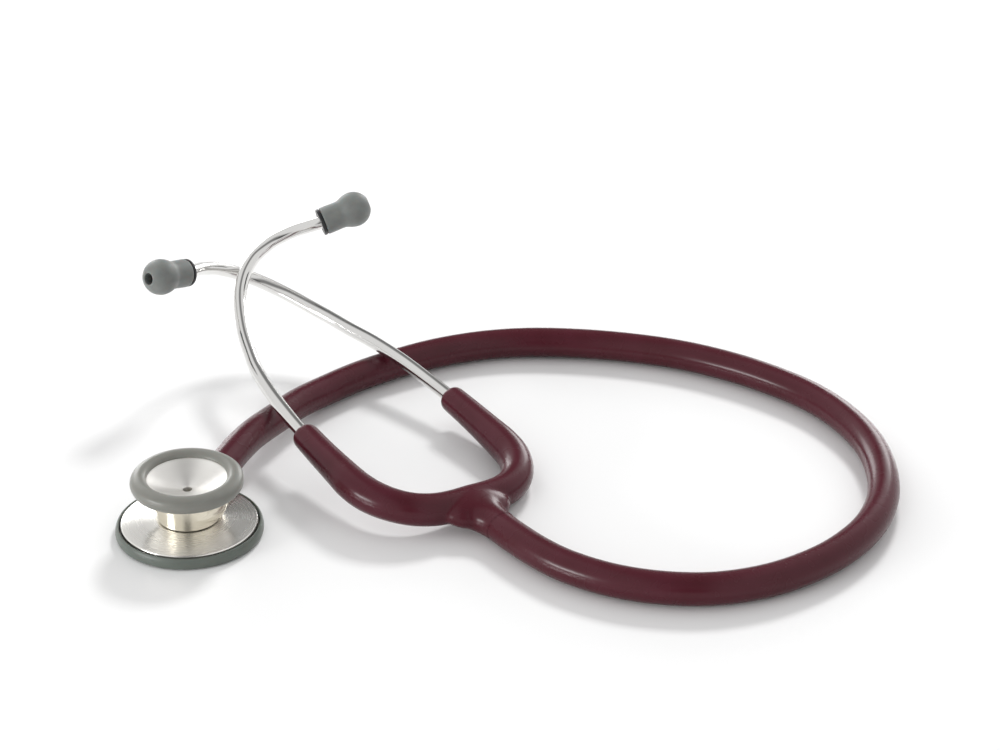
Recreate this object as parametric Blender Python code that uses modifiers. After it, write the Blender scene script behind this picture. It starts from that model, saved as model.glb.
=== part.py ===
"""Stethoscope with a two-sided chestpiece, moulded Y tubing and crossed binaurals.

Metres, +Z up. The chestpiece stands diaphragm side down on z = 0, its tubing lies on the
same surface in one open loop, and the headset leans over the tubing with its eartips raised.
"""

import math

import bmesh
import bpy
from mathutils import Matrix, Vector

# ---------------------------------------------------------------- driving dimensions

GAP = 0.0003                    # clearance between touching pieces
LOOSE = 0.0006                  # room for a part that slides past another

HEAD_X = -0.0435                # chestpiece axis, from the object's origin
HEAD_Y = -0.0620

RIM_RADIUS = 0.0240             # soft rim round the diaphragm
RIM_HEIGHT = 0.0038
RIM_WALL = 0.00125
LIP_THICK = 0.0010              # lip under the diaphragm's edge
LIP_REACH = 0.0022
DIAPHRAGM_THICK = 0.0003
FLANGE_EDGE = 0.0022            # height of the metal flange's turned edge
CONE_RISE = 0.0015              # from the flange's edge to the drum's seat
CHAMBER_DEPTH = 0.0011          # shallow hollow over the diaphragm
SOUND_HOLE = 0.0015             # radius of each sound passage

DRUM_RADIUS = 0.0102
DRUM_HEIGHT = 0.0071
DRUM_BEVEL = 0.0003
BOSS_RADIUS = 0.01175           # swelling round the stem's bearing
BOSS_SHIFT = 0.0019             # toward the stem

BELL_RADIUS = 0.0162            # metal edge of the bell
BELL_HEIGHT = 0.0069            # drum top to the metal edge's top
BELL_EDGE = 0.0030              # thickness of the metal edge
BELL_DEPTH = 0.0043             # depth of the dish under its edge
RING_RADIUS = 0.01835           # soft ring over the bell's edge
RING_REACH = 0.0124             # inner radius of the ring's lip
RING_CROWN = 0.0016             # ring above the metal edge

STEM_HEADING = math.radians(71.0)
STEM_RADIUS = 0.0023
STEM_BORE = 0.0011
STEM_INNER = 0.0082             # stem beyond the chestpiece axis
COLLAR_RADIUS = 0.0037
COLLAR_LENGTH = 0.0020
NECK_RADIUS = 0.0030
SHOULDER_RADIUS = 0.0042
SHOULDER_LENGTH = 0.0014
TUBE_START = 0.0260             # tubing's first end, from the chestpiece axis

CLIP_PLACE = -0.0057            # snap ring, along the stem
CLIP_THICK = 0.0010
CLIP_DEPTH = 0.0005             # groove depth in stem and in drum
DETENT_PLACE = 0.0050
DETENT_GROOVE = 0.00035
BALL_RADIUS = 0.0010
BALL_TRAVEL = 0.00045
SPRING_LENGTH = 0.0037
SPRING_TURNS = 6
WIRE_RADIUS = 0.00012
SCREW_LENGTH = 0.0022

TUBE_RADIUS = 0.0053            # also its centre line's height where it lies flat

# Tubing's centre line from the chestpiece's axis: x, y, lift off the table.
ROUTE = [
    (0.0130, 0.0378, 0.0041), (0.0171, 0.0480, 0.0036), (0.0240, 0.0615, 0.0023),
    (0.0307, 0.0738, 0.0011), (0.0383, 0.0835, 0.0003), (0.0509, 0.0959, 0.0000),
    (0.0647, 0.1058, 0.0000), (0.0788, 0.1136, 0.0000), (0.0945, 0.1190, 0.0000),
    (0.1112, 0.1213, 0.0000), (0.1290, 0.1204, 0.0000), (0.1470, 0.1172, 0.0000),
    (0.1650, 0.1116, 0.0000), (0.1818, 0.1030, 0.0000), (0.1960, 0.0928, 0.0000),
    (0.2090, 0.0803, 0.0000), (0.2188, 0.0650, 0.0000), (0.2250, 0.0483, 0.0000),
    (0.2272, 0.0300, 0.0000), (0.2255, 0.0118, 0.0000), (0.2192, -0.0052, 0.0000),
    (0.2090, -0.0195, 0.0000), (0.1965, -0.0305, 0.0000), (0.1820, -0.0385, 0.0000),
    (0.1660, -0.0425, 0.0000), (0.1502, -0.0418, 0.0000), (0.1353, -0.0375, 0.0000),
    (0.1219, -0.0298, 0.0000), (0.1130, -0.0217, 0.0000),
]
ROUTE_STEP = 0.0085             # between the tubing's rings

HEADSET_PLACE = (0.0909, 0.0079, 0.0066)    # middle of the yoke, from the chestpiece axis
HEADSET_HEADING = math.radians(125.0)
HEADSET_PITCH = math.radians(5.7)
HEADSET_ROLL = math.radians(4.7)

YOKE_HALF = 0.0301              # half the distance between the yoke's arms
YOKE_DEPTH = 0.0243             # yoke's base to the arms' roots
YOKE_RADIUS = 0.0053
TAIL_LENGTH = 0.0170
WEB_LENGTH = 0.0085
WEB_HALF = 0.0105
ARM_LENGTH = 0.0335
ARM_ROOT = 0.0055
ARM_TIP = 0.0046
KNUCKLE_RADIUS = 0.0053
ARM_LEAN = 0.0012               # arm's tip closer to the middle than its root
ARM_OPEN = {"left": math.radians(-0.4), "right": math.radians(3.0)}     # as it lies

LEAF_LENGTH = 0.0200
LEAF_WIDTH = 0.0060
LEAF_THICK = 0.0006
LEAF_START = 0.0030             # before the arm's root axis

BINAURAL_RADIUS = 0.00238
BINAURAL_WALL = 0.0005
BINAURAL_DEPTH = 0.0140         # pushed into the arm
TWIST_RIGHT = math.radians(6.2)         # right tube dips, left tube rides over it
CROSS_LEVER = 0.0250            # crossing, from each tube's own axis
CROSS_CLEAR = 0.00064           # between the tubes where they cross

# Binaural's centre line from the arm's tip: forward, inward, up.
BEND = [
    (0.0105, 0.0010, 0.0000), (0.0261, 0.0030, 0.0001), (0.0412, 0.0061, 0.0002),
    (0.0527, 0.0098, 0.0005), (0.0611, 0.0128, 0.0013), (0.0684, 0.0160, 0.0023),
    (0.0747, 0.0191, 0.0035), (0.0800, 0.0222, 0.0047), (0.0842, 0.0254, 0.0061),
    (0.0876, 0.0287, 0.0075), (0.0900, 0.0321, 0.0091), (0.0916, 0.0356, 0.0107),
    (0.0921, 0.0392, 0.0124), (0.0919, 0.0429, 0.0143), (0.0908, 0.0467, 0.0160),
    (0.0888, 0.0507, 0.0180),
]
TIP_PLACE = (0.0837, 0.0579, 0.0215)
TIP_AIM = (-0.254, 0.927, 0.276)

COLLAR_THICK = 0.0011           # black collar of the eartip's adaptor
SLEEVE_RADIUS = 0.0035
SLEEVE_LENGTH = 0.0075
TIP_ENGAGE = 0.0060             # steel tube inside the adaptor
SKIRT_RADIUS = 0.0049
TIP_BALL = 0.0063
TIP_LENGTH = 0.0176
TIP_HOLE = 0.0020

# ---------------------------------------------------------------- heights that follow

DIAPHRAGM_BASE = LIP_THICK + GAP
FLANGE_BASE = DIAPHRAGM_BASE + DIAPHRAGM_THICK + GAP
FLANGE_TOP = FLANGE_BASE + FLANGE_EDGE
FLANGE_RADIUS = RIM_RADIUS - RIM_WALL - GAP
DRUM_BASE = FLANGE_TOP + CONE_RISE + GAP
DRUM_TOP = DRUM_BASE + DRUM_HEIGHT
STEM_HEIGHT = DRUM_BASE + DRUM_HEIGHT / 2
BELL_BASE = DRUM_TOP + GAP
BELL_TOP = BELL_BASE + BELL_HEIGHT
BEARING_RADIUS = STEM_RADIUS + GAP
TAIL_RISE = (TUBE_RADIUS - HEADSET_PLACE[2] + TAIL_LENGTH * math.sin(HEADSET_PITCH))
TWIST = {
    "left": math.asin((2 * BINAURAL_RADIUS + CROSS_CLEAR) / CROSS_LEVER
                      - math.sin(TWIST_RIGHT)),
    "right": TWIST_RIGHT,
}

ROUND = 44                      # steps round the large turned pieces
SMALL = 24                      # steps round the small ones

PARTS = "stethoscope"
CUTTERS = "cutters"


# ---------------------------------------------------------------- scene and materials

def clear_scene():
    for item in list(bpy.data.objects):
        bpy.data.objects.remove(item, do_unlink=True)


def collection(name):
    group = bpy.data.collections.new(name)
    bpy.context.scene.collection.children.link(group)
    return group


def finish(name, colour, metallic, roughness):
    material = bpy.data.materials.new(name)
    material.use_nodes = True
    shader = material.node_tree.nodes["Principled BSDF"]
    shader.inputs["Base Color"].default_value = (*colour, 1.0)
    shader.inputs["Metallic"].default_value = metallic
    shader.inputs["Roughness"].default_value = roughness
    material.diffuse_color = (*colour, 1.0)
    return material


def steel(name, roughness=0.28):
    return finish(name, (0.62, 0.60, 0.57), 1.0, roughness)


def soft_grey(name):
    return finish(name, (0.20, 0.21, 0.19), 0.0, 0.55)


def burgundy(name):
    return finish(name, (0.065, 0.014, 0.020), 0.0, 0.32)


def add(name, data, material, parent, matrix=None):
    """A part of the object, placed in its parent's frame."""
    item = bpy.data.objects.new(name, data)
    bpy.data.collections[PARTS].objects.link(item)
    if material is not None:
        data.materials.clear()
        data.materials.append(material)
    item.parent = parent
    if matrix is not None:
        item.matrix_local = matrix
    return item


def frame(name, parent, matrix):
    """An empty that carries the pieces placed in its axes."""
    item = bpy.data.objects.new(name, None)
    item.empty_display_size = 0.01
    bpy.data.collections[PARTS].objects.link(item)
    item.parent = parent
    item.matrix_local = matrix
    return item


# ---------------------------------------------------------------- shapes

def profile_mesh(name, outline):
    """Edges through (radius, height) points, ready for a Screw modifier."""
    mesh = bpy.data.meshes.new(name)
    shape = bmesh.new()
    points = [shape.verts.new((radius, 0.0, height)) for radius, height in outline]
    for first, second in zip(points, points[1:]):
        shape.edges.new((first, second))
    if outline[0][0] > 0.0 or outline[-1][0] > 0.0:
        shape.edges.new((points[-1], points[0]))
    shape.to_mesh(mesh)
    shape.free()
    return mesh


def screw(item, steps):
    turn = item.modifiers.new("Turn", "SCREW")
    turn.axis = "Z"
    turn.angle = 2 * math.pi
    turn.steps = steps
    turn.render_steps = steps
    turn.use_merge_vertices = True
    turn.merge_threshold = 1e-6
    turn.use_smooth_shade = True
    turn.use_normal_calculate = False
    return item


def turned(name, outline, steps, material, parent, matrix=None):
    """A lathe-turned piece; the outline runs down its outer side."""
    return screw(add(name, profile_mesh(name, outline), material, parent, matrix), steps)


def cutter(name, mesh, parent, matrix=None):
    item = bpy.data.objects.new(name, mesh)
    bpy.data.collections[CUTTERS].objects.link(item)
    item.parent = parent
    if matrix is not None:
        item.matrix_local = matrix
    item.hide_render = True
    item.display_type = "WIRE"
    return item


def cylinder_mesh(name, radius, length, steps=SMALL):
    """A cylinder along +Z from its base at the origin."""
    mesh = bpy.data.meshes.new(name)
    shape = bmesh.new()
    middle = Matrix.Translation((0, 0, length / 2))
    bmesh.ops.create_cone(shape, cap_ends=True, segments=steps, radius1=radius,
                          radius2=radius, depth=length, matrix=middle)
    shape.to_mesh(mesh)
    shape.free()
    return mesh


def ball_mesh(name, radius, steps=16, stretch=(1, 1, 1)):
    mesh = bpy.data.meshes.new(name)
    shape = bmesh.new()
    bmesh.ops.create_uvsphere(shape, u_segments=steps, v_segments=steps // 2,
                              radius=radius, matrix=Matrix.Diagonal((*stretch, 1)))
    shape.to_mesh(mesh)
    shape.free()
    return mesh


def box_mesh(name, size):
    mesh = bpy.data.meshes.new(name)
    shape = bmesh.new()
    bmesh.ops.create_cube(shape, size=1.0, matrix=Matrix.Diagonal((*size, 1)))
    shape.to_mesh(mesh)
    shape.free()
    return mesh


def boolean(item, operation, other):
    cut = item.modifiers.new(other.name, "BOOLEAN")
    cut.operation = operation
    cut.solver = "EXACT"
    cut.object = other


def spline(points, step):
    """Evenly spaced points on a smooth curve through the given ones."""
    places = [Vector(point) for point in points]
    places = [2 * places[0] - places[1]] + places + [2 * places[-1] - places[-2]]
    fine = []
    for before, first, second, after in zip(places, places[1:], places[2:], places[3:]):
        span = (second - first).length
        lead = (second - before) * span / ((first - before).length + span)
        tail = (after - first) * span / ((after - second).length + span)
        for index in range(12):
            t = index / 12
            fine.append((2 * t**3 - 3 * t**2 + 1) * first + (t**3 - 2 * t**2 + t) * lead
                        + (3 * t**2 - 2 * t**3) * second + (t**3 - t**2) * tail)
    fine.append(places[-2])
    total = sum((b - a).length for a, b in zip(fine, fine[1:]))
    count = max(2, round(total / step))
    wanted = [total * index / count for index in range(1, count)]
    even = [fine[0]]
    walked = 0.0
    for a, b in zip(fine, fine[1:]):
        span = (b - a).length
        while wanted and wanted[0] <= walked + span:
            even.append(a.lerp(b, (wanted.pop(0) - walked) / span))
        walked += span
    even.append(fine[-1])
    return even


def tube_curve(name, points, radius, resolution, radii=None, caps=True):
    """A round tube through the points, as a bevelled curve."""
    data = bpy.data.curves.new(name, "CURVE")
    data.dimensions = "3D"
    data.bevel_depth = radius
    data.bevel_resolution = resolution
    data.use_fill_caps = caps
    line = data.splines.new("POLY")
    line.points.add(len(points) - 1)
    for index, point in enumerate(points):
        line.points[index].co = (*point, 1.0)
        if radii is not None:
            line.points[index].radius = radii[index] / radius
    return data


def as_mesh(name, curve):
    """The curve's surface as one welded mesh."""
    holder = bpy.data.objects.new(name, curve)
    bpy.context.scene.collection.objects.link(holder)
    bpy.context.view_layer.update()
    graph = bpy.context.evaluated_depsgraph_get()
    mesh = bpy.data.meshes.new_from_object(holder.evaluated_get(graph))
    bpy.data.objects.remove(holder, do_unlink=True)
    shape = bmesh.new()
    shape.from_mesh(mesh)
    bmesh.ops.remove_doubles(shape, verts=shape.verts, dist=1e-6)
    bmesh.ops.recalc_face_normals(shape, faces=shape.faces)
    shape.to_mesh(mesh)
    shape.free()
    mesh.name = name
    return mesh


def aim(place, direction):
    """A frame at a place with its Z axis along a direction."""
    turn = Vector(direction).to_track_quat("Z", "X")
    return Matrix.Translation(place) @ turn.to_matrix().to_4x4()


# ---------------------------------------------------------------- chestpiece

def make_diaphragm_side(head):
    rim_inside = RIM_RADIUS - RIM_WALL
    lip_inside = rim_inside - LIP_REACH
    turned("diaphragm_rim", [
        (rim_inside, RIM_HEIGHT), (rim_inside + 0.0004, RIM_HEIGHT),
        (RIM_RADIUS - 0.0003, RIM_HEIGHT * 0.75), (RIM_RADIUS, RIM_HEIGHT * 0.40),
        (RIM_RADIUS - 0.0002, LIP_THICK * 0.5), (RIM_RADIUS - 0.0008, 0.0),
        (lip_inside + 0.0006, 0.0), (lip_inside, LIP_THICK * 0.4),
        (lip_inside, LIP_THICK), (rim_inside, LIP_THICK),
    ], ROUND, soft_grey("rim rubber"), head)
    turned("diaphragm", [
        (0.0, DIAPHRAGM_BASE + DIAPHRAGM_THICK),
        (FLANGE_RADIUS, DIAPHRAGM_BASE + DIAPHRAGM_THICK),
        (FLANGE_RADIUS, DIAPHRAGM_BASE), (0.0, DIAPHRAGM_BASE),
    ], ROUND, finish("diaphragm resin", (0.75, 0.74, 0.70), 0.0, 0.35), head)
    seat_radius = DRUM_RADIUS + 0.0005
    chamber = FLANGE_RADIUS - 0.0014
    turned("diaphragm_housing", [
        (SOUND_HOLE, FLANGE_TOP + CONE_RISE), (seat_radius, FLANGE_TOP + CONE_RISE),
        (seat_radius + 0.0004, FLANGE_TOP + CONE_RISE - 0.0001),
        (FLANGE_RADIUS - 0.0005, FLANGE_TOP), (FLANGE_RADIUS, FLANGE_TOP - 0.0003),
        (FLANGE_RADIUS, FLANGE_BASE), (chamber, FLANGE_BASE),
        (SOUND_HOLE, FLANGE_BASE + CHAMBER_DEPTH),
    ], ROUND, steel("turned steel"), head)


def make_bell_side(head):
    edge_base = BELL_TOP - BELL_EDGE
    turned("bell_cup", [
        (SOUND_HOLE, BELL_TOP - BELL_DEPTH), (RING_REACH - 0.0004, BELL_TOP - 0.0006),
        (BELL_RADIUS, BELL_TOP), (BELL_RADIUS, edge_base),
        (BELL_RADIUS - 0.0022, edge_base - 0.0008),
        (DRUM_RADIUS + 0.0002, BELL_BASE + 0.0006), (DRUM_RADIUS - 0.0006, BELL_BASE),
        (SOUND_HOLE, BELL_BASE),
    ], ROUND, steel("satin steel", 0.35), head)
    lip_top = BELL_TOP + GAP
    crown = BELL_TOP + RING_CROWN
    inside = BELL_RADIUS + GAP
    turned("bell_ring", [
        (RING_REACH, BELL_TOP - 0.0003), (RING_REACH + 0.0002, lip_top + 0.0003),
        (RING_REACH + 0.0012, crown - 0.0004), (RING_REACH + 0.0028, crown),
        (RING_RADIUS - 0.0014, crown - 0.0003), (RING_RADIUS - 0.0004, BELL_TOP + 0.0004),
        (RING_RADIUS, BELL_TOP - 0.0009), (RING_RADIUS - 0.0004, edge_base + 0.0003),
        (RING_RADIUS - 0.0012, edge_base - 0.0004), (inside, edge_base - 0.0001),
        (inside, lip_top),
    ], ROUND, soft_grey("ring rubber"), head)


def make_drum(head, along_stem):
    """The drum that carries the stem, bored for it, for the sound and for the detent."""
    drum = turned("valve_drum", [
        (0.0, DRUM_TOP), (DRUM_RADIUS - DRUM_BEVEL, DRUM_TOP),
        (DRUM_RADIUS, DRUM_TOP - DRUM_BEVEL), (DRUM_RADIUS, DRUM_BASE + DRUM_BEVEL),
        (DRUM_RADIUS - DRUM_BEVEL, DRUM_BASE), (0.0, DRUM_BASE),
    ], ROUND, steel("drum steel", 0.18), head)
    shift = Matrix.Rotation(STEM_HEADING, 4, "Z") @ Matrix.Translation((BOSS_SHIFT, 0, 0))
    waist = DRUM_RADIUS - 0.0001
    swell = BOSS_RADIUS - waist
    rows = [index / 8 for index in range(9)]
    side = [(waist + swell * math.sin(math.pi * t), DRUM_TOP - DRUM_BEVEL - t
             * (DRUM_HEIGHT - 2 * DRUM_BEVEL)) for t in rows]
    boss = cutter("boss", profile_mesh("boss", [(0.0, side[0][1])] + side
                                       + [(0.0, side[-1][1])]), head, shift)
    screw(boss, ROUND)
    boolean(drum, "UNION", boss)
    reach = DRUM_RADIUS + BOSS_SHIFT + 0.004
    blind = STEM_INNER + LOOSE
    bearing = cutter("bearing", cylinder_mesh("bearing", BEARING_RADIUS, blind + reach),
                     along_stem, Matrix.Translation((0, 0, -blind)))
    groove_length = CLIP_THICK + 2 * GAP
    clip_room = cutter("clip room", cylinder_mesh(
        "clip room", BEARING_RADIUS + CLIP_DEPTH, groove_length),
        along_stem, Matrix.Translation((0, 0, CLIP_PLACE - groove_length / 2)))
    passage = cutter("passage", cylinder_mesh("passage", SOUND_HOLE, DRUM_HEIGHT + 0.002),
                     head, Matrix.Translation((0, 0, DRUM_BASE - 0.001)))
    across = Matrix.Translation((0, 0, DETENT_PLACE)) @ Matrix.Rotation(-math.pi / 2, 4, "X")
    detent_bore = cutter("detent bore", cylinder_mesh(
        "detent bore", BALL_RADIUS + GAP, BOSS_RADIUS + 0.003), along_stem, across)
    for tool in (bearing, clip_room, passage, detent_bore):
        boolean(drum, "DIFFERENCE", tool)


def make_stem(along_stem, turning):
    """The hollow stem; its port lines up with the side that listens."""
    collar_start = DRUM_RADIUS + BOSS_SHIFT + (BOSS_RADIUS - DRUM_RADIUS) + GAP
    collar_end = collar_start + COLLAR_LENGTH
    tail_end = TUBE_START - GAP
    shoulder = tail_end - SHOULDER_LENGTH
    detent_floor = STEM_RADIUS - DETENT_GROOVE
    clip_floor = STEM_RADIUS - CLIP_DEPTH
    detent_half = BALL_RADIUS + GAP
    clip_half = CLIP_THICK / 2 + GAP
    stem = turned("valve_stem", [
        (0.0, -STEM_RADIUS), (STEM_BORE, -STEM_RADIUS + STEM_BORE),
        (STEM_BORE, tail_end), (SHOULDER_RADIUS - 0.0004, tail_end),
        (SHOULDER_RADIUS, tail_end - 0.0004), (SHOULDER_RADIUS, shoulder),
        (NECK_RADIUS, shoulder - 0.0010), (NECK_RADIUS, collar_end + 0.0006),
        (COLLAR_RADIUS, collar_end), (COLLAR_RADIUS, collar_start),
        (STEM_RADIUS, collar_start), (STEM_RADIUS, DETENT_PLACE + detent_half),
        (detent_floor, DETENT_PLACE + detent_half - 0.0003),
        (detent_floor, DETENT_PLACE - detent_half + 0.0003),
        (STEM_RADIUS, DETENT_PLACE - detent_half), (STEM_RADIUS, CLIP_PLACE + clip_half),
        (clip_floor, CLIP_PLACE + clip_half), (clip_floor, CLIP_PLACE - clip_half),
        (STEM_RADIUS, CLIP_PLACE - clip_half), (STEM_RADIUS, -STEM_INNER + 0.0004),
        (STEM_RADIUS - 0.0004, -STEM_INNER), (0.0, -STEM_INNER),
    ], SMALL, steel("stem steel", 0.2), along_stem)
    down = Matrix.Rotation(math.pi / 2, 4, "Y")
    port = cutter("port", cylinder_mesh("port", STEM_BORE - 0.0002, STEM_RADIUS + 0.001, 12),
                  along_stem, down)
    boolean(stem, "DIFFERENCE", port)
    inside = clip_floor + GAP
    outside = BEARING_RADIUS + CLIP_DEPTH - GAP
    low = CLIP_PLACE - CLIP_THICK / 2
    ring = turned("stem_snap_ring", [
        (inside, low + CLIP_THICK), (outside, low + CLIP_THICK), (outside, low),
        (inside, low),
    ], SMALL, steel("spring steel", 0.3), turning)
    slot = cutter("ring slot", box_mesh("ring slot", (0.0014, 0.0080, 0.0030)), turning,
                  Matrix.Translation((0, 0.0040, CLIP_PLACE)))
    boolean(ring, "DIFFERENCE", slot)


def make_detent(across):
    """Ball, spring and set screw that click the chestpiece into place."""
    ball_place = STEM_RADIUS - DETENT_GROOVE + GAP + BALL_RADIUS
    add("detent_ball", ball_mesh("detent_ball", BALL_RADIUS, 12), steel("ball steel", 0.1),
        across, Matrix.Translation((0, 0, ball_place)))
    spring_start = ball_place + BALL_RADIUS + BALL_TRAVEL
    coil = BALL_RADIUS - WIRE_RADIUS
    rise = SPRING_LENGTH - 2 * WIRE_RADIUS
    count = SPRING_TURNS * 10
    wire = []
    for index in range(count + 1):
        turn = 2 * math.pi * index / 10
        wire.append((coil * math.cos(turn), coil * math.sin(turn),
                     spring_start + WIRE_RADIUS + rise * index / count))
    add("detent_spring", tube_curve("detent_spring", wire, WIRE_RADIUS, 0),
        steel("spring wire", 0.3), across)
    screw_start = spring_start + SPRING_LENGTH + GAP
    driver = 0.0005
    screw_end = screw_start + SCREW_LENGTH
    screw_piece = turned("detent_set_screw", [
        (0.0, screw_end), (BALL_RADIUS - 0.0002, screw_end), (BALL_RADIUS, screw_end - 0.0002),
        (BALL_RADIUS, screw_start), (0.0, screw_start),
    ], 16, steel("screw steel", 0.3), across)
    slot = cutter("driver slot", box_mesh("driver slot", (driver, 0.004, 2 * driver)), across,
                  Matrix.Translation((0, 0, screw_end)))
    boolean(screw_piece, "DIFFERENCE", slot)


# ---------------------------------------------------------------- tubing and yoke

def make_tubing(layout):
    """The long tube, from the stem's shoulder round its loop to the yoke's tail."""
    forward = Vector((math.cos(STEM_HEADING), math.sin(STEM_HEADING), 0.0))
    start = forward * TUBE_START + Vector((0, 0, STEM_HEIGHT))
    end = headset_matrix() @ Vector((-TAIL_LENGTH - GAP, 0.0, TAIL_RISE))
    before = headset_matrix() @ Vector((-TAIL_LENGTH - 0.006, 0.0, TAIL_RISE))
    before.z = end.z = TUBE_RADIUS
    lying = Vector((0, 0, TUBE_RADIUS))
    route = [start, start + forward * 0.006] + [Vector(place) + lying for place in ROUTE]
    points = spline(route + [before, end], ROUTE_STEP)
    add("main_tube", tube_curve("main_tube", points, TUBE_RADIUS, 3),
        burgundy("tubing vinyl"), layout)


def yoke_path():
    """Half of the yoke's base, from its middle to the arm's root."""
    return [
        (0.0, 0.0), (-0.0001, YOKE_HALF * 0.24), (YOKE_DEPTH * 0.035, YOKE_HALF * 0.46),
        (YOKE_DEPTH * 0.17, YOKE_HALF * 0.68), (YOKE_DEPTH * 0.40, YOKE_HALF * 0.85),
        (YOKE_DEPTH * 0.69, YOKE_HALF * 0.96), (YOKE_DEPTH, YOKE_HALF),
    ]


def make_yoke(headset):
    """Moulded base of the Y, with a socket for each arm's root."""
    half = [Vector((forward, side, 0.0)) for forward, side in yoke_path()]
    other = [Vector((place.x, -place.y, 0.0)) for place in half[1:]]
    points = spline(list(reversed(other)) + half, 0.0045)
    yoke = add("yoke_base", as_mesh("yoke_base", tube_curve("yoke", points, YOKE_RADIUS, 3)),
               burgundy("yoke vinyl"), headset)
    straight = 0.6
    tail_path = []
    for step in (0.0, 0.3, straight, 0.8, 0.9, 1.0):
        lift = max(0.0, (step - straight) / (1.0 - straight))
        tail_path.append((-TAIL_LENGTH * step, 0.0, TAIL_RISE * lift**2))
    root_thinner = [TUBE_RADIUS * factor for factor in (0.93, 1.0, 1.0, 1.0, 1.0, 1.0)]
    tail = cutter("tail", as_mesh("tail", tube_curve("tail", tail_path, TUBE_RADIUS, 3,
                                                     root_thinner)), headset)
    web = cutter("web", ball_mesh("web", YOKE_RADIUS, 20, (
        WEB_LENGTH / YOKE_RADIUS, WEB_HALF / YOKE_RADIUS, 1.03)), headset,
        Matrix.Translation((-WEB_LENGTH * 0.55, 0, 0.0001)))
    boolean(yoke, "UNION", tail)
    boolean(yoke, "UNION", web)
    for side in (1, -1):
        socket = cutter(f"socket {side}", ball_mesh("socket", KNUCKLE_RADIUS + GAP, 20),
                        headset, Matrix.Translation((YOKE_DEPTH, side * YOKE_HALF, 0)))
        boolean(yoke, "DIFFERENCE", socket)


def make_arm(name, side, headset):
    """One arm of the Y: round root, blind hole for the binaural, slot for its leaf spring."""
    root = frame(f"arm_root_{name}", headset,
                 Matrix.Translation((YOKE_DEPTH, side * YOKE_HALF, 0))
                 @ Matrix.Rotation(side * ARM_OPEN[name], 4, "Z"))
    lean = -side * ARM_LEAN
    stations = [0.0, 0.12, 0.27, 0.42, 0.57, 0.72, 0.86, 0.945, 0.975, 0.992, 1.0]
    round_over = {0.975: 0.96, 0.992: 0.88, 1.0: 0.76}
    points = [Vector((ARM_LENGTH * t, lean * t * t, 0)) for t in stations]
    radii = [(ARM_ROOT + (ARM_TIP - ARM_ROOT) * t) * round_over.get(t, 1.0) for t in stations]
    mesh = as_mesh(f"arm {name}", tube_curve("arm", points, ARM_ROOT, 3, radii))
    arm = add(f"yoke_arm_{name}", mesh, burgundy(f"arm vinyl {name}"), root)
    knuckle = cutter(f"knuckle {name}", ball_mesh("knuckle", KNUCKLE_RADIUS, 20), root)
    keep = cutter(f"behind root {name}", box_mesh("behind", (0.004, 0.02, 0.02)), root,
                  Matrix.Translation((-0.002 - 0.0002, 0, 0)))
    hole = cutter(f"hole {name}", cylinder_mesh(
        "hole", BINAURAL_RADIUS + GAP, BINAURAL_DEPTH + GAP + 0.004, 16), root,
        arm_tip(side) @ Matrix.Translation((0, 0, -BINAURAL_DEPTH - GAP)))
    slot_length = LEAF_LENGTH + LEAF_START + GAP
    slot = cutter(f"slot {name}", box_mesh("slot", (
        slot_length + 0.006, LEAF_THICK + 2 * GAP, LEAF_WIDTH + 2 * GAP)), root,
        Matrix.Translation(((slot_length + 0.006) / 2 - LEAF_START - 0.006, 0, 0)))
    boolean(arm, "DIFFERENCE", keep)
    boolean(arm, "UNION", knuckle)
    boolean(arm, "DIFFERENCE", hole)
    boolean(arm, "DIFFERENCE", slot)
    add(f"leaf_spring_{name}", box_mesh(f"leaf_spring_{name}", (
        LEAF_LENGTH, LEAF_THICK, LEAF_WIDTH)), steel(f"leaf steel {name}", 0.3), root,
        Matrix.Translation((LEAF_LENGTH / 2 - LEAF_START, 0, 0)))
    return root


def arm_tip(side):
    """Frame at the arm's tip, with Z along the hole in it."""
    return aim((ARM_LENGTH, -side * ARM_LEAN, 0.0), (ARM_LENGTH, -2 * side * ARM_LEAN, 0.0))


# ---------------------------------------------------------------- binaurals and eartips

def headset_place(side, place):
    """A point given as forward, inward and up, in the arm root's axes."""
    forward, inward, up = place
    return Vector((ARM_LENGTH + forward, -side * (ARM_LEAN + inward), up))


def make_binaural(name, side, root):
    """Bent steel tube with its eartip, turned a little about the hole it sits in."""
    hole = arm_tip(side)
    turn = hole @ Matrix.Rotation(-TWIST[name], 4, "Z")
    pivot = frame(f"binaural_axis_{name}", root, turn)
    inverse = hole.inverted()
    along = [Vector((0, 0, -BINAURAL_DEPTH)), Vector((0, 0, -BINAURAL_DEPTH / 2)),
             Vector((0, 0, 0))]
    along += [inverse @ headset_place(side, place) for place in BEND]
    tip = inverse @ headset_place(side, TIP_PLACE)
    direction = Vector((TIP_AIM[0], -side * TIP_AIM[1], TIP_AIM[2])).normalized()
    direction = (inverse.to_3x3() @ direction).normalized()
    along += [tip, tip + direction * (COLLAR_THICK + TIP_ENGAGE)]
    curve = tube_curve("binaural", spline(along, 0.0048), BINAURAL_RADIUS, 3, caps=False)
    tube = add(f"binaural_{name}", as_mesh(f"binaural {name}", curve),
               steel(f"binaural steel {name}", 0.12), pivot)
    wall = tube.modifiers.new("Wall", "SOLIDIFY")
    wall.thickness = BINAURAL_WALL
    wall.offset = -1.0
    make_eartip(name, pivot, aim(tip, direction))


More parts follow.
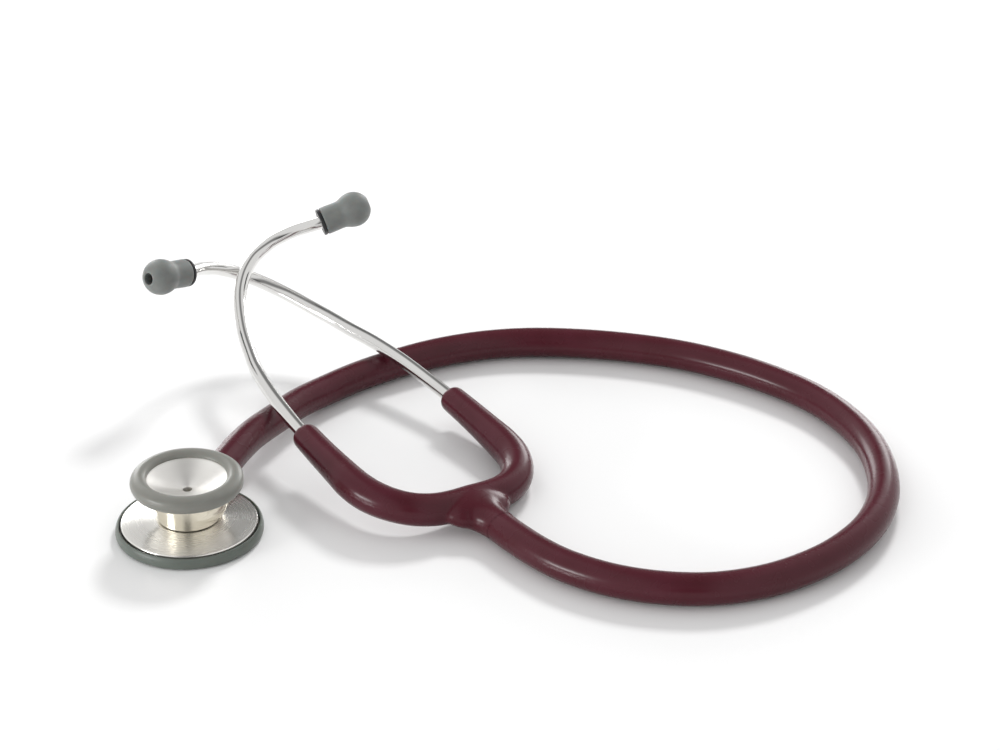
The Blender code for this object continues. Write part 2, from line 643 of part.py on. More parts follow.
def make_eartip(name, pivot, place):
    """Black adaptor on the steel tube and the soft eartip that screws over it."""
    seat = frame(f"eartip_axis_{name}", pivot, place)
    bore = BINAURAL_RADIUS + GAP
    turned(f"eartip_adaptor_{name}", [
        (bore, COLLAR_THICK + SLEEVE_LENGTH), (SLEEVE_RADIUS - 0.0003,
                                               COLLAR_THICK + SLEEVE_LENGTH),
        (SLEEVE_RADIUS, COLLAR_THICK + SLEEVE_LENGTH - 0.0003),
        (SLEEVE_RADIUS, COLLAR_THICK), (SKIRT_RADIUS - 0.0001, COLLAR_THICK),
        (SKIRT_RADIUS, COLLAR_THICK - 0.0002), (SKIRT_RADIUS, 0.0002),
        (SKIRT_RADIUS - 0.0002, 0.0), (bore, 0.0),
    ], SMALL, finish(f"adaptor nylon {name}", (0.012, 0.012, 0.013), 0.0, 0.4), seat)
    base = COLLAR_THICK + GAP
    end = base + TIP_LENGTH
    room = SLEEVE_RADIUS + GAP
    centre = end - TIP_LENGTH * 0.318
    ball = [(TIP_BALL * math.cos(angle), centre + TIP_BALL * 0.92 * math.sin(angle))
            for angle in (math.radians(step) for step in (50, 34, 18, 0, -18, -34))]
    turned(f"eartip_{name}", [
        (TIP_HOLE, end - 0.0002), (TIP_HOLE + 0.0008, end), (TIP_BALL * 0.50, end - 0.0003),
    ] + ball + [
        (SKIRT_RADIUS + 0.0001, base + TIP_LENGTH * 0.36), (SKIRT_RADIUS, base + 0.0004),
        (SKIRT_RADIUS - 0.0003, base), (room, base),
        (room, base + SLEEVE_LENGTH + LOOSE), (TIP_HOLE, base + SLEEVE_LENGTH + 0.0022),
    ], SMALL, finish(f"eartip silicone {name}", (0.16, 0.17, 0.18), 0.0, 0.5), seat)


# ---------------------------------------------------------------- assembly

def headset_matrix():
    """Forward toward the eartips, left across the headset, up out of its plane."""
    place = Matrix.Translation(HEADSET_PLACE)
    heading = Matrix.Rotation(HEADSET_HEADING, 4, "Z")
    pitch = Matrix.Rotation(-HEADSET_PITCH, 4, "Y")
    roll = Matrix.Rotation(HEADSET_ROLL, 4, "X")
    return place @ heading @ pitch @ roll


def main():
    clear_scene()
    collection(PARTS)
    collection(CUTTERS)
    layout = frame("layout", None, Matrix.Translation((HEAD_X, HEAD_Y, 0)))
    head = frame("chestpiece_axis", layout, Matrix.Identity(4))
    to_stem = (Matrix.Translation((0, 0, STEM_HEIGHT)) @ Matrix.Rotation(STEM_HEADING, 4, "Z")
               @ Matrix.Rotation(math.pi / 2, 4, "Y"))
    along_stem = frame("stem_axis", layout, to_stem)
    turning = frame("swivel_axis", head, to_stem)
    across = frame("detent_axis", turning, Matrix.Translation((0, 0, DETENT_PLACE))
                   @ Matrix.Rotation(-math.pi / 2, 4, "X"))
    make_diaphragm_side(head)
    make_bell_side(head)
    make_drum(head, turning)
    make_stem(along_stem, turning)
    make_detent(across)
    headset = frame("headset", layout, headset_matrix())
    make_tubing(layout)
    make_yoke(headset)
    for name, side in (("left", 1), ("right", -1)):
        root = make_arm(name, side, headset)
        make_binaural(name, side, root)
    bpy.context.view_layer.update()


main()
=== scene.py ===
"""Looks for the stethoscope: moulded vinyl tubing and yoke, turned steel, silicone and rubber."""

import math

import bmesh
import bpy
from mathutils import Matrix, Vector


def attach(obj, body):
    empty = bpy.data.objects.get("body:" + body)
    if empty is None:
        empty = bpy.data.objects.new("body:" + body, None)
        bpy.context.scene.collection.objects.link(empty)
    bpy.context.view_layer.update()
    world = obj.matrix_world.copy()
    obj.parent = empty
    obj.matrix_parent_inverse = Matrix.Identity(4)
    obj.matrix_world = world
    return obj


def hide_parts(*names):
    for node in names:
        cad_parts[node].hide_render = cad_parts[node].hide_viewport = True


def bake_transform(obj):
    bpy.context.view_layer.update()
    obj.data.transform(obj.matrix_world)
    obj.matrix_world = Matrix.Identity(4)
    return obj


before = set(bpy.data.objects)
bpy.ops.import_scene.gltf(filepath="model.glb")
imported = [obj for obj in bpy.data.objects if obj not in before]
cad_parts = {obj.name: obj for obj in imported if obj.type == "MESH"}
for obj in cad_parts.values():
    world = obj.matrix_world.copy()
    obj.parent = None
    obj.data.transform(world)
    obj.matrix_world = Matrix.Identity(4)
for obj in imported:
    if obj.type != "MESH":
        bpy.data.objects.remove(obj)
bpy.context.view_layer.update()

MM = 0.001
SHRINK = 0.00013            # what smoothing the yoke's skin takes off its radius

# ---------------------------------------------------------------- sizes shared with the solids

HEAD = Vector((-0.0435, -0.0620, 0.0))          # chestpiece axis on the floor
STEM_HEIGHT = 0.00945
STEM_HEADING = math.radians(71.0)
TUBE_START = 0.0260
TUBE_RADIUS = 0.0053
TAIL_LENGTH = 0.0170
HEADSET_HEIGHT = 0.0066
HEADSET_PITCH = math.radians(5.7)
TAIL_RISE = TUBE_RADIUS - HEADSET_HEIGHT + TAIL_LENGTH * math.sin(HEADSET_PITCH)
YOKE_HALF = 0.0301
YOKE_DEPTH = 0.0243
ARM_LENGTH = 0.0335
ARM_LEAN = 0.0012
ARM_OPEN = {"left": math.radians(-0.4), "right": math.radians(3.0)}
SIDE = {"left": 1, "right": -1}
BINAURAL_RADIUS = 0.00238
CROSS_LEVER = 0.0250
CROSS_CLEAR = 0.00064
TWIST_RIGHT = math.radians(6.2)
TWIST = {"left": math.asin((2 * BINAURAL_RADIUS + CROSS_CLEAR) / CROSS_LEVER
                           - math.sin(TWIST_RIGHT)), "right": TWIST_RIGHT}
COLLAR_THICK = 0.0011
GAP = 0.0003

# ---------------------------------------------------------------- sizes of the looks alone

INTO_TAIL = 0.0006          # tubing's end inside the yoke's tail
LEAD = 0.0060               # straight stretch at each end of the tubing
BASE_CUT = 0.0150           # where the arms' sleeves leave the yoke's base
VOXEL = 0.00046             # grain of the yoke's skin before it is smoothed
SMOOTHING = 26
STEEL_WALL = 0.0005

# Tubing's centre line from the chestpiece's axis: x, y, lift off the table.
ROUTE = [
    (0.0130, 0.0378, 0.0041), (0.0171, 0.0480, 0.0036), (0.0240, 0.0615, 0.0023),
    (0.0307, 0.0738, 0.0011), (0.0383, 0.0835, 0.0003), (0.0509, 0.0959, 0.0000),
    (0.0647, 0.1058, 0.0000), (0.0788, 0.1136, 0.0000), (0.0945, 0.1190, 0.0000),
    (0.1112, 0.1213, 0.0000), (0.1290, 0.1204, 0.0000), (0.1470, 0.1172, 0.0000),
    (0.1650, 0.1116, 0.0000), (0.1818, 0.1030, 0.0000), (0.1960, 0.0928, 0.0000),
    (0.2090, 0.0803, 0.0000), (0.2188, 0.0650, 0.0000), (0.2250, 0.0483, 0.0000),
    (0.2272, 0.0300, 0.0000), (0.2255, 0.0118, 0.0000), (0.2192, -0.0052, 0.0000),
    (0.2090, -0.0195, 0.0000), (0.1965, -0.0305, 0.0000), (0.1820, -0.0385, 0.0000),
    (0.1660, -0.0425, 0.0000), (0.1502, -0.0418, 0.0000), (0.1353, -0.0375, 0.0000),
    (0.1219, -0.0298, 0.0000), (0.1130, -0.0217, 0.0000),
]

# Binaural's centre line from the arm's tip: forward, inward, up.
BEND = [
    (0.0105, 0.0010, 0.0000), (0.0261, 0.0030, 0.0001), (0.0412, 0.0061, 0.0002),
    (0.0527, 0.0098, 0.0005), (0.0611, 0.0128, 0.0013), (0.0684, 0.0160, 0.0023),
    (0.0747, 0.0191, 0.0035), (0.0800, 0.0222, 0.0047), (0.0842, 0.0254, 0.0061),
    (0.0876, 0.0287, 0.0075), (0.0900, 0.0321, 0.0091), (0.0916, 0.0356, 0.0107),
    (0.0921, 0.0392, 0.0124), (0.0919, 0.0429, 0.0143), (0.0908, 0.0467, 0.0160),
    (0.0888, 0.0507, 0.0180),
]
TIP_PLACE = (0.0837, 0.0579, 0.0215)
TIP_AIM = (-0.254, 0.927, 0.276)


def headset_matrix():
    """The headset's axes: x along the arms, y to the left, z up."""
    place = Matrix.Translation(HEAD + Vector((0.0909, 0.0079, HEADSET_HEIGHT)))
    turn = Matrix.Rotation(math.radians(125.0), 4, "Z")
    pitch = Matrix.Rotation(-HEADSET_PITCH, 4, "Y")
    roll = Matrix.Rotation(math.radians(4.7), 4, "X")
    return place @ turn @ pitch @ roll


HEADSET = headset_matrix()


def arm_matrix(name):
    """An arm's axes at its root, opened by its rest angle."""
    side = SIDE[name]
    return (HEADSET @ Matrix.Translation((YOKE_DEPTH, side * YOKE_HALF, 0))
            @ Matrix.Rotation(side * ARM_OPEN[name], 4, "Z"))


def aim(place, direction):
    """Axes at a place with z along a direction."""
    turn = Vector(direction).to_track_quat("Z", "X")
    return Matrix.Translation(place) @ turn.to_matrix().to_4x4()


# ---------------------------------------------------------------- camera

def make_camera():
    """Long lens from the front, 28 degrees above the table."""
    target = Vector((0.0569, 0.0442, 0.0))
    tilt = math.radians(28.454)
    distance = 0.9932
    data = bpy.data.cameras.new("camera")
    data.lens = 100.0
    data.sensor_width = 36.0
    data.clip_start = 0.05
    camera = bpy.data.objects.new("camera", data)
    bpy.context.scene.collection.objects.link(camera)
    camera.location = target + Vector((0, -math.cos(tilt), math.sin(tilt))) * distance
    camera.rotation_euler = (math.pi / 2 - tilt, 0, 0)
    bpy.context.scene.camera = camera


make_camera()

# ---------------------------------------------------------------- node helpers


def linear(code):
    """sRGB hex to linear colour."""
    parts = [int(code[i:i + 2], 16) / 255 for i in (1, 3, 5)]
    return tuple(c / 12.92 if c <= 0.04045 else ((c + 0.055) / 1.055) ** 2.4
                 for c in parts) + (1.0,)


def node(tree, kind, settings=None, values=None, **links):
    """Adds a node, sets it up and links its named inputs."""
    item = tree.nodes.new(kind)
    for key, value in (settings or {}).items():
        setattr(item, key, value)
    for key, value in (values or {}).items():
        item.inputs[key].default_value = value
    for key, source in links.items():
        tree.links.new(source, item.inputs[key.replace("_", " ")])
    return item


def surface(name, colour, **values):
    """A Principled material with its constants on its own sockets."""
    material = bpy.data.materials.new(name)
    material.use_nodes = True
    shader = material.node_tree.nodes["Principled BSDF"]
    shader.inputs["Base Color"].default_value = linear(colour)
    for key, value in values.items():
        shader.inputs[key.replace("_", " ")].default_value = value
    return material, material.node_tree, shader


def ramp(tree, source, stops):
    item = node(tree, "ShaderNodeValToRGB", Fac=source)
    bar = item.color_ramp
    while len(bar.elements) < len(stops):
        bar.elements.new(0.5)
    for element, (place, colour) in zip(bar.elements, stops):
        element.position = place
        element.color = colour
    return item.outputs["Color"]


# ---------------------------------------------------------------- materials

def burgundy_vinyl():
    """Plasticised PVC out of a polished mould: an even deep wine, glossy through a faint haze."""
    material, tree, shader = surface(
        "burgundy_pvc_moulded", "#491823", Roughness=0.24, IOR=1.53, Specular_IOR_Level=0.20,
        Coat_Weight=0.06, Coat_Roughness=0.07, Coat_IOR=1.5)
    place = node(tree, "ShaderNodeTexCoord").outputs["Object"]
    cloud = node(tree, "ShaderNodeTexNoise", values={"Scale": 90.0, "Detail": 3.0}, Vector=place)
    tint = ramp(tree, cloud.outputs["Fac"], [(0.3, linear("#46161f")), (0.7, linear("#4c1b26"))])
    tree.links.new(tint, shader.inputs["Base Color"])
    # Plasticiser haze, patches of about 6 mm.
    haze = node(tree, "ShaderNodeTexNoise", values={"Scale": 160.0, "Detail": 2.0}, Vector=place)
    rough = node(tree, "ShaderNodeMapRange", values={"To Min": 0.23, "To Max": 0.31},
                 Value=haze.outputs["Fac"])
    tree.links.new(rough.outputs["Result"], shader.inputs["Roughness"])
    # Mould texture of 0.4 mm grains and slow waves of 8 mm along the tube.
    grain = node(tree, "ShaderNodeTexNoise", values={"Scale": 2500.0, "Detail": 2.0}, Vector=place)
    wave = node(tree, "ShaderNodeTexNoise", values={"Scale": 120.0, "Detail": 1.0}, Vector=place)
    fine = node(tree, "ShaderNodeBump", values={"Strength": 0.03, "Distance": 0.00003},
                Height=grain.outputs["Fac"])
    slow = node(tree, "ShaderNodeBump", values={"Strength": 0.02, "Distance": 0.0003},
                Height=wave.outputs["Fac"], Normal=fine.outputs["Normal"])
    tree.links.new(slow.outputs["Normal"], shader.inputs["Normal"])
    return material


def turned_steel(name, colour, roughness, anisotropy, depth):
    """Stainless steel faced on a lathe: tool lines round the axis fan the light out."""
    material, tree, shader = surface(name, colour, Metallic=1.0, Roughness=roughness,
                                     Anisotropic=anisotropy, Anisotropic_Rotation=0.25)
    layer = node(tree, "ShaderNodeUVMap", {"uv_map": "turned"}).outputs["UV"]
    tangent = node(tree, "ShaderNodeTangent", {"direction_type": "UV_MAP", "uv_map": "turned"})
    tree.links.new(tangent.outputs["Tangent"], shader.inputs["Tangent"])
    # Tool lines 0.12 mm apart, drawn a little coarser than the real ones; v is in millimetres.
    stretch = node(tree, "ShaderNodeMapping", values={"Scale": (3.0, 8.0, 1.0)}, Vector=layer)
    lines = node(tree, "ShaderNodeTexNoise", values={"Scale": 1.0, "Detail": 4.0},
                 Vector=stretch.outputs["Vector"])
    bands = node(tree, "ShaderNodeMapping", values={"Scale": (1.5, 0.9, 1.0)}, Vector=layer)
    broad = node(tree, "ShaderNodeTexNoise", values={"Scale": 1.0, "Detail": 2.0},
                 Vector=bands.outputs["Vector"])
    rough = node(tree, "ShaderNodeMapRange", values={"To Min": roughness * 0.8,
                                                     "To Max": roughness * 1.25},
                 Value=broad.outputs["Fac"])
    tree.links.new(rough.outputs["Result"], shader.inputs["Roughness"])
    bump = node(tree, "ShaderNodeBump", values={"Strength": depth, "Distance": 0.00003},
                Height=lines.outputs["Fac"])
    tree.links.new(bump.outputs["Normal"], shader.inputs["Normal"])
    return material


def polished_tube_steel():
    """Drawn stainless tube, mirror buffed: sharp reflections, softened by faint buffing haze."""
    material, tree, shader = surface("drawn_stainless_buffed", "#dcdbd9", Metallic=1.0,
                                     Roughness=0.10)
    place = node(tree, "ShaderNodeTexCoord").outputs["Object"]
    haze = node(tree, "ShaderNodeTexNoise", values={"Scale": 220.0, "Detail": 4.0}, Vector=place)
    rough = node(tree, "ShaderNodeMapRange", values={"To Min": 0.06, "To Max": 0.15},
                 Value=haze.outputs["Fac"])
    tree.links.new(rough.outputs["Result"], shader.inputs["Roughness"])
    grain = node(tree, "ShaderNodeTexNoise", values={"Scale": 900.0, "Detail": 2.0}, Vector=place)
    bump = node(tree, "ShaderNodeBump", values={"Strength": 0.04, "Distance": 0.00002},
                Height=grain.outputs["Fac"])
    tree.links.new(bump.outputs["Normal"], shader.inputs["Normal"])
    return material


def soft_rubber(name, dark, light, roughness, glow=0.0):
    """Moulded silicone or rubber: dull skin with a fine satin bloom that blurs every highlight."""
    material, tree, shader = surface(
        name, light, Roughness=roughness, IOR=1.43, Specular_IOR_Level=0.45,
        Subsurface_Weight=glow, Subsurface_Scale=0.002, Sheen_Weight=0.08, Sheen_Roughness=0.5)
    place = node(tree, "ShaderNodeTexCoord").outputs["Object"]
    cloud = node(tree, "ShaderNodeTexNoise", values={"Scale": 260.0, "Detail": 4.0}, Vector=place)
    tint = ramp(tree, cloud.outputs["Fac"], [(0.3, linear(dark)), (0.7, linear(light))])
    tree.links.new(tint, shader.inputs["Base Color"])
    # Mould skin of 0.3 mm grains.
    grain = node(tree, "ShaderNodeTexNoise", values={"Scale": 3300.0, "Detail": 2.0}, Vector=place)
    rough = node(tree, "ShaderNodeMapRange", values={"To Min": roughness * 0.9,
                                                     "To Max": roughness * 1.15},
                 Value=grain.outputs["Fac"])
    tree.links.new(rough.outputs["Result"], shader.inputs["Roughness"])
    bump = node(tree, "ShaderNodeBump", values={"Strength": 0.12, "Distance": 0.00003},
                Height=grain.outputs["Fac"])
    tree.links.new(bump.outputs["Normal"], shader.inputs["Normal"])
    return material


def black_nylon():
    """Moulded nylon, black and slightly shiny, with a fine spark texture."""
    material, tree, shader = surface("black_nylon_moulded", "#141416", Roughness=0.36, IOR=1.53)
    place = node(tree, "ShaderNodeTexCoord").outputs["Object"]
    grain = node(tree, "ShaderNodeTexNoise", values={"Scale": 2800.0, "Detail": 3.0}, Vector=place)
    rough = node(tree, "ShaderNodeMapRange", values={"To Min": 0.30, "To Max": 0.44},
                 Value=grain.outputs["Fac"])
    tree.links.new(rough.outputs["Result"], shader.inputs["Roughness"])
    bump = node(tree, "ShaderNodeBump", values={"Strength": 0.15, "Distance": 0.00003},
                Height=grain.outputs["Fac"])
    tree.links.new(bump.outputs["Normal"], shader.inputs["Normal"])
    return material


def diaphragm_resin():
    """Glass-filled epoxy sheet, 0.3 mm: off-white and glossy, with a faint fibre mottle."""
    material, tree, shader = surface("epoxy_sheet", "#dcd8cc", Roughness=0.22, IOR=1.55)
    place = node(tree, "ShaderNodeTexCoord").outputs["Object"]
    fibre = node(tree, "ShaderNodeTexVoronoi", values={"Scale": 1400.0}, Vector=place)
    tint = ramp(tree, fibre.outputs["Distance"], [(0.0, linear("#d2cdbf")),
                                                  (0.8, linear("#e4e1d8"))])
    tree.links.new(tint, shader.inputs["Base Color"])
    return material


def plain_steel(name, roughness):
    """Spring and ball steel, hidden in bores: plain grey metal with a light oil film."""
    material, tree, shader = surface(name, "#b4b1ab", Metallic=1.0, Roughness=roughness)
    place = node(tree, "ShaderNodeTexCoord").outputs["Object"]
    film = node(tree, "ShaderNodeTexNoise", values={"Scale": 600.0, "Detail": 3.0}, Vector=place)
    rough = node(tree, "ShaderNodeMapRange", values={"To Min": roughness * 0.7,
                                                     "To Max": roughness * 1.4},
                 Value=film.outputs["Fac"])
    tree.links.new(rough.outputs["Result"], shader.inputs["Roughness"])
    return material


VINYL = burgundy_vinyl()
FLANGE_STEEL = turned_steel("stainless_faced_flange", "#efede8", 0.26, 0.85, 0.15)
DISH_STEEL = turned_steel("stainless_satin_dish", "#f4f2ee", 0.46, 0.45, 0.30)
DRUM_STEEL = turned_steel("stainless_turned_drum", "#e3dccb", 0.24, 0.85, 0.12)
TUBE_STEEL = polished_tube_steel()
RING_RUBBER = soft_rubber("ring_silicone", "#797973", "#7d7d77", 0.33, 0.06)
RIM_RUBBER = soft_rubber("rim_silicone", "#5e645e", "#626962", 0.38, 0.06)
TIP_SILICONE = soft_rubber("eartip_silicone", "#6f7270", "#7a7d7a", 0.48, 0.18)
NYLON = black_nylon()
RESIN = diaphragm_resin()
SPRING_STEEL = plain_steel("spring_steel_oiled", 0.30)

# ---------------------------------------------------------------- shapes


def link(name, mesh, material):
    """Puts a mesh in the scene with one material."""
    item = bpy.data.objects.new(name, mesh)
    bpy.context.scene.collection.objects.link(item)
    mesh.materials.clear()
    mesh.materials.append(material)
    return item


def spline(points, step):
    """Evenly spaced points on a smooth curve through the given ones."""
    places = [Vector(point) for point in points]
    places = [2 * places[0] - places[1]] + places + [2 * places[-1] - places[-2]]
    fine = []
    for before, first, second, after in zip(places, places[1:], places[2:], places[3:]):
        span = (second - first).length
        lead = (second - before) * span / ((first - before).length + span)
        tail = (after - first) * span / ((after - second).length + span)
        for index in range(24):
            t = index / 24
            fine.append((2 * t**3 - 3 * t**2 + 1) * first + (t**3 - 2 * t**2 + t) * lead
                        + (3 * t**2 - 2 * t**3) * second + (t**3 - t**2) * tail)
    fine.append(places[-2])
    total = sum((b - a).length for a, b in zip(fine, fine[1:]))
    count = max(2, round(total / step))
    wanted = [total * index / count for index in range(1, count)]
    even = [fine[0]]
    walked = 0.0
    for a, b in zip(fine, fine[1:]):
        span = (b - a).length
        while wanted and wanted[0] <= walked + span:
            even.append(a.lerp(b, (wanted.pop(0) - walked) / span))
        walked += span
    even.append(fine[-1])
    return even


def tube_curve(name, points, radius, resolution, radii=None):
    """A round bar along the points, of one radius or one for each point."""
    data = bpy.data.curves.new(name, "CURVE")
    data.dimensions = "3D"
    data.bevel_depth = radius
    data.bevel_resolution = resolution
    data.use_fill_caps = True
    line = data.splines.new("POLY")
    line.points.add(len(points) - 1)
    for index, point in enumerate(points):
        line.points[index].co = (*point, 1.0)
        if radii is not None:
            line.points[index].radius = radii[index] / radius
    line.use_smooth = True
    return data


def rounded(outline, reach, steps=5):
    """Rounds each inner corner of a lathe outline by up to reach."""
    points = [Vector((r, 0, z)) for r, z in outline]
    out = [points[0]]
    for before, corner, after in zip(points, points[1:], points[2:]):
        one = before - corner
        two = after - corner
        if one.angle(two, math.pi) > math.radians(172):
            out.append(corner)
            continue
        cut = min(reach, one.length * 0.45, two.length * 0.45)
        start = corner + one.normalized() * cut
        end = corner + two.normalized() * cut
        for index in range(steps + 1):
            t = index / steps
            out.append((1 - t)**2 * start + 2 * t * (1 - t) * corner + t * t * end)
    out.append(points[-1])
    return [(point.x, point.z) for point in out]


def turned_mesh(name, outline, steps, matrix, closed=True):
    """A lathe-turned shell with a UV map: u once round, v along the outline in millimetres."""
    shape = bmesh.new()
    loop = outline + [outline[0]] if closed else outline
    along = [0.0]
    for (r1, z1), (r2, z2) in zip(loop, loop[1:]):
        along.append(along[-1] + math.hypot(r2 - r1, z2 - z1) * 1000)
    rings = []
    for r, z in outline:
        if r < 1e-7:
            rings.append([shape.verts.new((0, 0, z))] * steps)
            continue
        rings.append([shape.verts.new((r * math.cos(2 * math.pi * k / steps),
                                       r * math.sin(2 * math.pi * k / steps), z))
                      for k in range(steps)])
    layer = shape.loops.layers.uv.new("turned")
    count = len(outline)
    for row in range(count if closed else count - 1):
        upper, lower = rings[row], rings[(row + 1) % count]
        for k in range(steps):
            n = (k + 1) % steps
            corners = [(upper[k], k, row), (lower[k], k, row + 1), (lower[n], k + 1, row + 1),
                       (upper[n], k + 1, row)]
            seen = []
            for corner in corners:
                if corner[0] not in [c[0] for c in seen]:
                    seen.append(corner)
            if len(seen) < 3:
                continue
            face = shape.faces.new([c[0] for c in seen])
            face.smooth = True
            for piece, (_, turn, step) in zip(face.loops, seen):
                piece[layer].uv = (turn / steps, along[step])
    bmesh.ops.recalc_face_normals(shape, faces=shape.faces)
    bmesh.ops.transform(shape, matrix=matrix, verts=shape.verts)
    mesh = bpy.data.meshes.new(name)
    shape.to_mesh(mesh)
    shape.free()
    return mesh


def sharpen(mesh, degrees=38):
    """Keeps edges steeper than this crisp on a smooth mesh."""
    mesh.set_sharp_from_angle(angle=math.radians(degrees))


def turned(name, outline, steps, matrix, material, body, stands_for, closed=True, edge=0.00025):
    """A lathe-turned piece with softened corners, on its body and in its solid's place."""
    corners = rounded(outline + outline[:2], edge)[1:-1] if closed else rounded(outline, edge)
    mesh = turned_mesh(name, corners, steps, matrix, closed)
    sharpen(mesh)
    item = link(name, mesh, material)
    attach(item, body)
    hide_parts(stands_for)
    return item


def apply_modifiers(item):
    """Turns an object's evaluated form into its plain mesh."""
    bpy.context.view_layer.update()
    graph = bpy.context.evaluated_depsgraph_get()
    mesh = bpy.data.meshes.new_from_object(item.evaluated_get(graph))
    matrix = item.matrix_world.copy()
    item.modifiers.clear()
    if item.type == "MESH":
        item.data = mesh
        return item
    name = item.name
    new = bpy.data.objects.new(name + "_mesh", mesh)
    bpy.context.scene.collection.objects.link(new)
    bpy.data.objects.remove(item, do_unlink=True)
    mesh.transform(matrix)
    new.name = name
    return new


def helper(name, data):
    """Puts a mesh or a curve in the scene as it is."""
    item = bpy.data.objects.new(name, data)
    bpy.context.scene.collection.objects.link(item)
    return item


# ---------------------------------------------------------------- the long tube

def make_tube():
    """Free hose from the stem's shoulder, round its loop, into the yoke's tail."""
    forward = Vector((math.cos(STEM_HEADING), math.sin(STEM_HEADING), 0.0))
    start = forward * TUBE_START + Vector((0, 0, STEM_HEIGHT))
    to_head = Matrix.Translation(-HEAD)
    end = to_head @ HEADSET @ Vector((-TAIL_LENGTH + INTO_TAIL, 0.0, TAIL_RISE))
    before = to_head @ HEADSET @ Vector((-TAIL_LENGTH - LEAD, 0.0, TAIL_RISE))
    before.z = end.z = TUBE_RADIUS
    lying = Vector((0, 0, TUBE_RADIUS))
    route = [start, start + forward * LEAD] + [Vector(place) + lying for place in ROUTE]
    points = [HEAD + point for point in spline(route + [before, end], 0.0022)]
    tube = helper("tube", tube_curve("tube", points, TUBE_RADIUS, 8))
    tube.data.materials.append(VINYL)
    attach(tube, "tubing")
    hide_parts("main_tube")


make_tube()

# ---------------------------------------------------------------- yoke

def arm_path(name, reach):
    """A place along an arm's centre line, in the headset's axes."""
    side = SIDE[name]
    to_headset = HEADSET.inverted() @ arm_matrix(name)
    return to_headset @ Vector((ARM_LENGTH * reach, -side * ARM_LEAN * reach**2, 0))


def base_path(side):
    """Half of the base's centre line, from its middle to an arm's root."""
    shape = [(0.0, 0.0), (-0.0001, YOKE_HALF * 0.24), (YOKE_DEPTH * 0.035, YOKE_HALF * 0.46),
             (YOKE_DEPTH * 0.17, YOKE_HALF * 0.68), (YOKE_DEPTH * 0.40, YOKE_HALF * 0.85),
             (YOKE_DEPTH * 0.69, YOKE_HALF * 0.96), (YOKE_DEPTH, YOKE_HALF)]
    return [Vector((forward, side * across, 0.0)) for forward, across in shape]


def fork_radius(walk, total):
    """Fat at the bends, thinner at the base's middle, tapering to each arm's end."""
    middle, swell, slimming = 5.45, 0.35, 0.80
    bend_at, bend_reach, taper_from = 0.52, 0.16, 0.60
    t = abs(walk / total - 0.5) * 2
    bend = swell * math.exp(-((t - bend_at) / bend_reach)**2)
    taper = slimming * max(0.0, (t - taper_from) / (1 - taper_from))
    return (middle + bend - taper) * MM


def lip_share(end):
    """Share of the full radius near an arm's end, for a rounded lip."""
    lip, least = 0.0021, 0.62
    if end >= lip:
        return 1.0
    return least + (1 - least) * math.sqrt(max(0.0, 1 - (1 - end / lip)**2))


def throat(back, side):
    """Half-width of the tail where it flares into the yoke's base, more slowly on its left."""
    fillet = TAIL_LENGTH - TUBE_RADIUS if side > 0 else 0.0080
    reach = TUBE_RADIUS + fillet - back
    if reach <= 0:
        return TUBE_RADIUS
    return TUBE_RADIUS + fillet - math.sqrt(fillet**2 - min(reach, fillet * 0.9)**2)


def make_tail():
    """Tail of the Y: straight, then lifted to the tubing, and flared where it joins."""
    straight, spare = 0.6, 0.011
    points = []
    for index in range(41):
        back = (TAIL_LENGTH + spare) * index / 40 - 0.001
        lift = max(0.0, (back / TAIL_LENGTH - straight) / (1 - straight))
        points.append(Vector((-back, 0, TAIL_RISE * lift**2)))
    tail = apply_modifiers(helper("tail", tube_curve("tail", points, TUBE_RADIUS + SHRINK, 8)))
    for corner in tail.data.vertices:
        corner.co.y *= throat(-corner.co.x, corner.co.y) / TUBE_RADIUS
    return tail


def make_web():
    """Flat ball that fills the corners between the tail and the base."""
    web = bpy.data.meshes.new("web")
    shape = bmesh.new()
    bmesh.ops.create_uvsphere(shape, u_segments=40, v_segments=24, radius=1.0,
                              matrix=Matrix.Translation((-0.0036, 0.0006, 0))
                              @ Matrix.Diagonal((0.0090, 0.0125, 0.0055, 1)))
    shape.to_mesh(web)
    shape.free()
    return helper("web", web)


def make_fork():
    """The moulded Y as one skin with soft fillets, to be cut into base and two arms."""
    reaches = (0.25, 0.5, 0.75, 1.0)
    left = base_path(1)[1:] + [arm_path("left", reach) for reach in reaches]
    right = base_path(-1)[1:] + [arm_path("right", reach) for reach in reaches]
    points = spline(list(reversed(right)) + [Vector((0, 0, 0))] + left, 0.0012)
    total = sum((b - a).length for a, b in zip(points, points[1:]))
    radii = []
    walk = 0.0
    for index, point in enumerate(points):
        if index:
            walk += (point - points[index - 1]).length
        radii.append(fork_radius(walk, total) * lip_share(min(walk, total - walk)))
    fork = apply_modifiers(helper("fork", tube_curve("fork", points, 0.0055, 8, radii)))
    tail = make_tail()
    web = make_web()
    for other in (tail, web):
        join = fork.modifiers.new("join", "BOOLEAN")
        join.operation = "UNION"
        join.solver = "EXACT"
        join.object = other
    skin = fork.modifiers.new("skin", "REMESH")
    skin.mode = "VOXEL"
    skin.voxel_size = VOXEL
    skin.use_smooth_shade = True
    melt = fork.modifiers.new("melt", "SMOOTH")
    melt.factor = 0.5
    melt.iterations = SMOOTHING
    apply_modifiers(fork)
    for other in (tail, web):
        bpy.data.objects.remove(other, do_unlink=True)
    return fork


def cut_piece(source, name, planes):
    """A copy of the mesh in front of the given planes, with its cuts left open."""
    shape = bmesh.new()
    shape.from_mesh(source)
    for place, normal in planes:
        parts = list(shape.verts) + list(shape.edges) + list(shape.faces)
        bmesh.ops.bisect_plane(shape, geom=parts, dist=1e-7, plane_co=place, plane_no=normal,
                               clear_inner=True)
    mesh = bpy.data.meshes.new(name)
    shape.to_mesh(mesh)
    shape.free()
    mesh.transform(HEADSET)
    mesh.shade_smooth()
    return link(name, mesh, VINYL)


